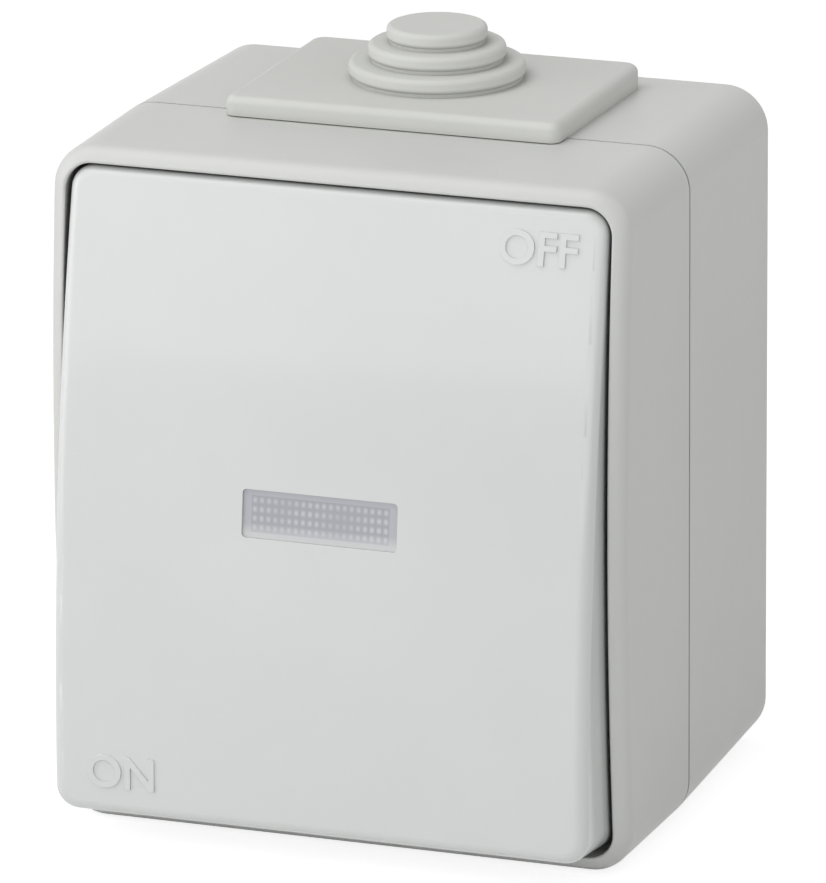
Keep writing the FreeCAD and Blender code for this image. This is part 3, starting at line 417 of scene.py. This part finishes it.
def screw_steel():
    tones = ((196, 197, 199), (182, 183, 186))
    return drawn_metal("screw_steel", *tones, gloss=(0.24, 0.38), stretch=(6, 1, 6))


def spring_steel():
    tones = ((150, 151, 154), (136, 137, 141))
    return drawn_metal("spring_steel", *tones, gloss=(0.28, 0.4), stretch=(1, 1, 1))


def terminal_brass():
    tones = ((214, 183, 112), (202, 169, 98))
    return drawn_metal("terminal_brass", *tones, gloss=(0.26, 0.4), stretch=(8, 8, 1))


def contact_silver():
    tones = ((222, 220, 214), (208, 206, 200))
    return drawn_metal("contact_silver", *tones, gloss=(0.2, 0.34), stretch=(1, 1, 1))


def lamp_clear():
    sockets = {"Transmission Weight": 0.9, "IOR": 1.5}
    material = start_material("lamp_clear", (236, 240, 238), 0.06, sockets)
    add_roughness(material, add_noise(material, scale=700, detail=2), low=0.04, high=0.1)
    add_bump(material, add_noise(material, scale=900, detail=2), strength=0.3, distance=0.004 * MM)
    return material


# Lacquered body with coloured rings along its length
def resistor_lacquer():
    material = start_material("resistor_lacquer", (205, 184, 142), 0.35, {"Coat Weight": 0.3})
    nodes = material.node_tree.nodes
    links = material.node_tree.links
    low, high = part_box("lamp_resistor")
    along = measure_along(material, "X", low.x, high.x)
    rings = nodes.new("ShaderNodeValToRGB")
    rings.color_ramp.interpolation = "CONSTANT"
    body, brown, black, red, gold = (
        srgb(205, 184, 142), srgb(96, 58, 32), srgb(28, 27, 26), srgb(168, 46, 38), srgb(176, 140, 62)
    )
    stops = rings.color_ramp.elements
    stops[0].color = body
    stops[1].position = 0.12
    stops[1].color = brown
    for position, colour in (
        (0.18, body), (0.34, black), (0.4, body), (0.52, red), (0.58, body), (0.8, gold), (0.86, body)
    ):
        stops.new(position).color = colour
    links.new(along.outputs["Result"], rings.inputs["Fac"])
    links.new(rings.outputs["Color"], nodes["Principled BSDF"].inputs["Base Color"])
    add_bump(material, add_noise(material, scale=1500, detail=2), strength=0.3, distance=0.01 * MM)
    return material


LENS_GLOSS = {"Transmission Weight": 0.1, "IOR": 1.49, "Coat Weight": 0.6, "Coat Roughness": 0.05}


# Window plastic with painted light that makes it paler towards its lower edge
def lens_plastic():
    material = start_material("lens_plastic", (186, 188, 194), 0.16, LENS_GLOSS)
    nodes = material.node_tree.nodes
    links = material.node_tree.links
    low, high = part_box("indicator_lens")
    upwards = measure_along(material, "Z", low.z, high.z)
    # Painted light: paler towards the window's lower edge
    painted_paler_fade = nodes.new("ShaderNodeValToRGB")
    painted_paler_fade.color_ramp.elements[0].position = 0.25
    painted_paler_fade.color_ramp.elements[0].color = srgb(214, 215, 216)
    painted_paler_fade.color_ramp.elements[1].position = 0.4
    painted_paler_fade.color_ramp.elements[1].color = srgb(187, 189, 195)
    links.new(upwards.outputs["Result"], painted_paler_fade.inputs["Fac"])
    links.new(painted_paler_fade.outputs["Color"], nodes["Principled BSDF"].inputs["Base Color"])
    add_roughness(material, add_noise(material, scale=600, detail=2), low=0.12, high=0.2)
    return material


# One set of soft bands of the window's grid, across or along it
def add_bands(material, direction, pitch):
    nodes = material.node_tree.nodes
    links = material.node_tree.links
    place = nodes.new("ShaderNodeTexCoord")
    mapping = nodes.new("ShaderNodeMapping")
    mapping.vector_type = "TEXTURE"
    mapping.inputs["Location"].default_value = rest_lean() @ Vector((0, -WINDOW_FACE, -WINDOW_DROP))
    mapping.inputs["Rotation"].default_value = (-ROCKER_TILT, 0, 0)
    bands = nodes.new("ShaderNodeTexWave")
    bands.bands_direction = direction
    bands.inputs["Scale"].default_value = 2 * math.pi / (20 * pitch)
    links.new(place.outputs["Object"], mapping.inputs["Vector"])
    links.new(mapping.outputs["Vector"], bands.inputs["Vector"])
    return bands


# Grid of small pyramids at the back of the window, painted as light: soft pale spots where the pyramids catch
# light, blurred by the cloudy plastic, dimmed in random clouds, and fading downwards into a painted paler margin
def lens_grid_painted_light():
    material = start_material("lens_grid_painted_light", (190, 192, 198), 0.16, LENS_GLOSS)
    nodes = material.node_tree.nodes
    links = material.node_tree.links
    columns = add_bands(material, "X", GRID_PITCH_X)
    rows = add_bands(material, "Z", GRID_PITCH_Z)
    cells = nodes.new("ShaderNodeMath")
    cells.operation = "MULTIPLY"
    clouds = nodes.new("ShaderNodeMath")
    clouds.operation = "MULTIPLY"
    # Painted light: pale spots where the pyramids catch light, dimmer lines between them
    tones = nodes.new("ShaderNodeValToRGB")
    tones.color_ramp.elements[0].color = srgb(171, 173, 180)
    tones.color_ramp.elements[1].position = 0.5
    tones.color_ramp.elements[1].color = srgb(202, 204, 209)
    links.new(columns.outputs["Fac"], cells.inputs[0])
    links.new(rows.outputs["Fac"], cells.inputs[1])
    links.new(cells.outputs["Value"], clouds.inputs[0])
    links.new(add_noise(material, scale=220, detail=1).outputs["Fac"], clouds.inputs[1])
    links.new(clouds.outputs["Value"], tones.inputs["Fac"])
    links.new(tones.outputs["Color"], nodes["Principled BSDF"].inputs["Base Color"])
    # Painted light: the grid pales towards the bottom
    low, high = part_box("indicator_lens")
    fade_top = low.z + GRID_PAINTED_FADE_TOP * (high.z - low.z)
    fade_bottom = low.z + GRID_PAINTED_FADE_BOTTOM * (high.z - low.z)
    painted_paler_fade = measure_along(material, "Z", fade_top, fade_bottom)
    paint_shading(material, painted_paler_fade.outputs["Result"], (212, 213, 215))
    add_roughness(material, add_noise(material, scale=600, detail=2), low=0.12, high=0.2)
    return material


SLOT_FINISHES = {
    "case_plastic": case_plastic(),
    "rocker_plastic": rocker_plastic(),
    "entry_rubber": entry_rubber(),
    "lens_plastic": lens_plastic(),
    "seal_rubber": seal_rubber(),
    "gasket_rubber": gasket_rubber(),
    "screw_steel": screw_steel(),
    "spring_steel": spring_steel(),
    "terminal_brass": terminal_brass(),
    "contact_silver": contact_silver(),
    "mechanism_plastic": mechanism_plastic(),
    "toggle_plastic": toggle_plastic(),
    "lamp_clear": lamp_clear(),
    "board_laminate": board_laminate(),
    "resistor_lacquer": resistor_lacquer(),
    "lead_insulation": lead_insulation(),
}


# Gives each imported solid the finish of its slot
def dress_solids():
    for subpart in frame["record"]["subparts"]:
        solid = frame["nodes"][subpart["node"]]
        solid.data.materials.clear()
        solid.data.materials.append(SLOT_FINISHES[subpart["material_slot"]])


def is_upright(edge):
    first, second = edge.verts
    return (first.co.xy - second.co.xy).length < SAME_PLACE


# Block with rounded upright corners, drawn flat with its rear and front along Z
def add_block(shape, width, height, corner, rear, front, x=0):
    size = Matrix.Diagonal((width, height, front - rear, 1))
    place = Matrix.Translation((x, 0, (rear + front) / 2))
    made = bmesh.ops.create_cube(shape, size=1, matrix=place @ size)
    edges = {edge for vert in made["verts"] for edge in vert.link_edges}
    upright = [edge for edge in edges if is_upright(edge)]
    bmesh.ops.bevel(shape, geom=upright, offset=corner, segments=4, profile=0.5, affect="EDGES", material=-1)


def is_window_front(face):
    return math.isclose(face.calc_center_median().z, WINDOW_FACE, abs_tol=SAME_PLACE)


# Flat front faces of the window with their edges and corners, for a cut
def front_parts(shape):
    faces = [face for face in shape.faces if is_window_front(face)]
    edges = {edge for face in faces for edge in face.edges}
    verts = {vert for face in faces for vert in face.verts}
    return faces + list(edges) + list(verts)


# Front of the window: a smooth margin round the face of the grid, with a softened outer edge
def add_window_front(shape):
    add_block(shape, WINDOW_WIDTH, WINDOW_HEIGHT, WINDOW_CORNER, WINDOW_REAR, WINDOW_FACE)
    front = max(shape.faces, key=lambda face: face.calc_center_median().z)
    bmesh.ops.bevel(
        shape, geom=front.edges[:], offset=WINDOW_EDGE, segments=3, profile=0.5, affect="EDGES", material=-1
    )
    half_width = GRID_COLUMNS * GRID_PITCH_X / 2
    half_height = GRID_ROWS * GRID_PITCH_Z / 2
    for axis, half in ((Vector((1, 0, 0)), half_width), (Vector((0, 1, 0)), half_height)):
        for side in (-1, 1):
            cut = front_parts(shape)
            bmesh.ops.bisect_plane(shape, geom=cut, plane_co=axis * half * side, plane_no=axis)
    for face in shape.faces:
        middle = face.calc_center_median()
        in_grid = abs(middle.x) < half_width and abs(middle.y) < half_height
        if in_grid and is_window_front(face):
            face.material_index = 1


def build_window():
    shape = bmesh.new()
    add_window_front(shape)
    flange_front = WINDOW_REAR + FLANGE_THICKNESS
    add_block(shape, FLANGE_WIDTH, FLANGE_HEIGHT, WINDOW_CORNER, WINDOW_REAR, flange_front)
    for side in (-1, 1):
        leg = (LEG_WIDTH, LEG_HEIGHT, WINDOW_CORNER, WINDOW_REAR - LEG_LENGTH, WINDOW_REAR)
        add_block(shape, *leg, x=side * LEG_X)
    drop = Matrix.Translation((0, -WINDOW_DROP, 0))
    bmesh.ops.transform(shape, matrix=rest_lean() @ FACE_FRONT @ drop, verts=shape.verts)
    mesh = bpy.data.meshes.new("indicator_window")
    shape.to_mesh(mesh)
    shape.free()
    finishes = [SLOT_FINISHES["lens_plastic"], lens_grid_painted_light()]
    window = add_piece("indicator_window", mesh, "rocker", finishes)
    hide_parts("indicator_lens")


# Raised word on the rocker's arched face, its middle at a place across and up the upright rocker
def build_word(name, word, place):
    letters = bpy.data.curves.new(name, "FONT")
    letters.body = word
    letters.align_x = "CENTER"
    letters.align_y = "CENTER"
    letters.size = WORD_HEIGHT
    letters.extrude = WORD_RISE - WORD_EDGE
    letters.bevel_depth = WORD_EDGE
    letters.offset = WORD_BOLD
    letters.bevel_resolution = 2
    drawn = bpy.data.objects.new(name, letters)
    bpy.context.scene.collection.objects.link(drawn)
    bpy.context.view_layer.update()
    mesh = bpy.data.meshes.new_from_object(drawn.evaluated_get(bpy.context.evaluated_depsgraph_get()))
    bpy.data.objects.remove(drawn)
    across, up = place
    lean = math.asin(up / ROCKER_ARCH)
    depth = ROCKER_APEX - ROCKER_ARCH * (1 - math.cos(lean))
    spot = Matrix.Translation((across, -depth, up)) @ Matrix.Rotation(-lean, 4, "X")
    mesh.transform(rest_lean() @ spot @ FACE_FRONT)
    mesh.materials.clear()
    add_piece(name, mesh, "rocker", [SLOT_FINISHES["rocker_plastic"]])


# Shows one shader to the camera and to mirrors and glass, and gives light with another
def split_by_ray(tree, lighting, seen, output):
    path = tree.nodes.new("ShaderNodeLightPath")
    mirrored = tree.nodes.new("ShaderNodeMath")
    mirrored.operation = "MAXIMUM"
    shown = tree.nodes.new("ShaderNodeMath")
    shown.operation = "MAXIMUM"
    choice = tree.nodes.new("ShaderNodeMixShader")
    tree.links.new(path.outputs["Is Glossy Ray"], mirrored.inputs[0])
    tree.links.new(path.outputs["Is Transmission Ray"], mirrored.inputs[1])
    tree.links.new(path.outputs["Is Camera Ray"], shown.inputs[0])
    tree.links.new(mirrored.outputs["Value"], shown.inputs[1])
    tree.links.new(shown.outputs["Value"], choice.inputs["Fac"])
    tree.links.new(lighting, choice.inputs[1])
    tree.links.new(seen, choice.inputs[2])
    tree.links.new(choice.outputs["Shader"], tree.nodes[output].inputs["Surface"])


def build_world():
    world = bpy.data.worlds.new("studio")
    bpy.context.scene.world = world
    world.use_nodes = True
    tree = world.node_tree
    ambient = tree.nodes["Background"]
    ambient.inputs["Strength"].default_value = AMBIENT_STRENGTH
    ambient.inputs["Color"].default_value = (1, 1, 1, 1)
    backdrop = tree.nodes.new("ShaderNodeBackground")
    backdrop.inputs["Color"].default_value = (1, 1, 1, 1)
    split_by_ray(tree, ambient.outputs["Background"], backdrop.outputs["Background"], "World Output")


# Pale floor that reads as white and still takes the object's shadow
def floor_material():
    material = bpy.data.materials.new("pale_floor")
    material.use_nodes = True
    tree = material.node_tree
    tree.nodes.remove(tree.nodes["Principled BSDF"])
    paper = tree.nodes.new("ShaderNodeBsdfDiffuse")
    paper.inputs["Color"].default_value = srgb(*FLOOR_COLOUR)
    shade = tree.nodes.new("ShaderNodeBsdfDiffuse")
    shade.inputs["Color"].default_value = srgb(*FLOOR_SEEN_COLOUR)
    glow = tree.nodes.new("ShaderNodeEmission")
    glow.inputs["Strength"].default_value = FLOOR_SEEN_GLOW
    seen = tree.nodes.new("ShaderNodeAddShader")
    tree.links.new(shade.outputs["BSDF"], seen.inputs[0])
    tree.links.new(glow.outputs["Emission"], seen.inputs[1])
    split_by_ray(tree, paper.outputs["BSDF"], seen.outputs["Shader"], "Material Output")
    return material


def build_floor():
    shape = bmesh.new()
    bmesh.ops.create_grid(shape, x_segments=1, y_segments=1, size=FLOOR_SIZE / 2)
    bmesh.ops.translate(shape, vec=(0, 0, cad_low.z), verts=shape.verts)
    mesh = bpy.data.meshes.new("floor")
    shape.to_mesh(mesh)
    shape.free()
    mesh.materials.append(floor_material())
    floor = bpy.data.objects.new("floor", mesh)
    bpy.context.scene.collection.objects.link(floor)


# Direction from the object towards an azimuth, where 0 is the front, and an elevation
def towards(azimuth, elevation):
    around = math.radians(azimuth)
    above = math.radians(elevation)
    return Vector((math.sin(around) * math.cos(above), -math.cos(around) * math.cos(above), math.sin(above)))


def build_panel(name, panel):
    light = bpy.data.lights.new(name + "_panel", "AREA")
    light.shape = "RECTANGLE"
    light.size, light.size_y = panel["size"]
    light.energy = panel["power"]
    lamp = bpy.data.objects.new(name + "_panel", light)
    direction = towards(panel["azimuth"], panel["elevation"])
    lamp.location = direction * panel["distance"]
    lamp.rotation_mode = "QUATERNION"
    level = direction.to_track_quat("Z", "Y")
    lamp.rotation_quaternion = level @ Matrix.Rotation(math.radians(panel["roll"]), 3, "Z").to_quaternion()
    bpy.context.scene.collection.objects.link(lamp)


def build_camera():
    lens = bpy.data.cameras.new("photograph")
    lens.lens = CAMERA_LENS
    lens.clip_start = 0.05
    lens.clip_end = 20
    camera = bpy.data.objects.new("photograph", lens)
    camera.location = CAMERA_PLACE
    camera.rotation_mode = "QUATERNION"
    level = (CAMERA_AIM - CAMERA_PLACE).to_track_quat("-Z", "Y")
    camera.rotation_quaternion = level @ Matrix.Rotation(math.radians(CAMERA_ROLL), 3, "Z").to_quaternion()
    bpy.context.scene.collection.objects.link(camera)
    bpy.context.scene.camera = camera


dress_solids()
build_window()
build_word("on_word", "ON", ON_PLACE)
build_word("off_word", "OFF", OFF_PLACE)
build_world()
build_floor()
for panel_name, panel in PANELS.items():
    build_panel(panel_name, panel)
build_camera()
bpy.context.scene.view_settings.view_transform = "Standard"
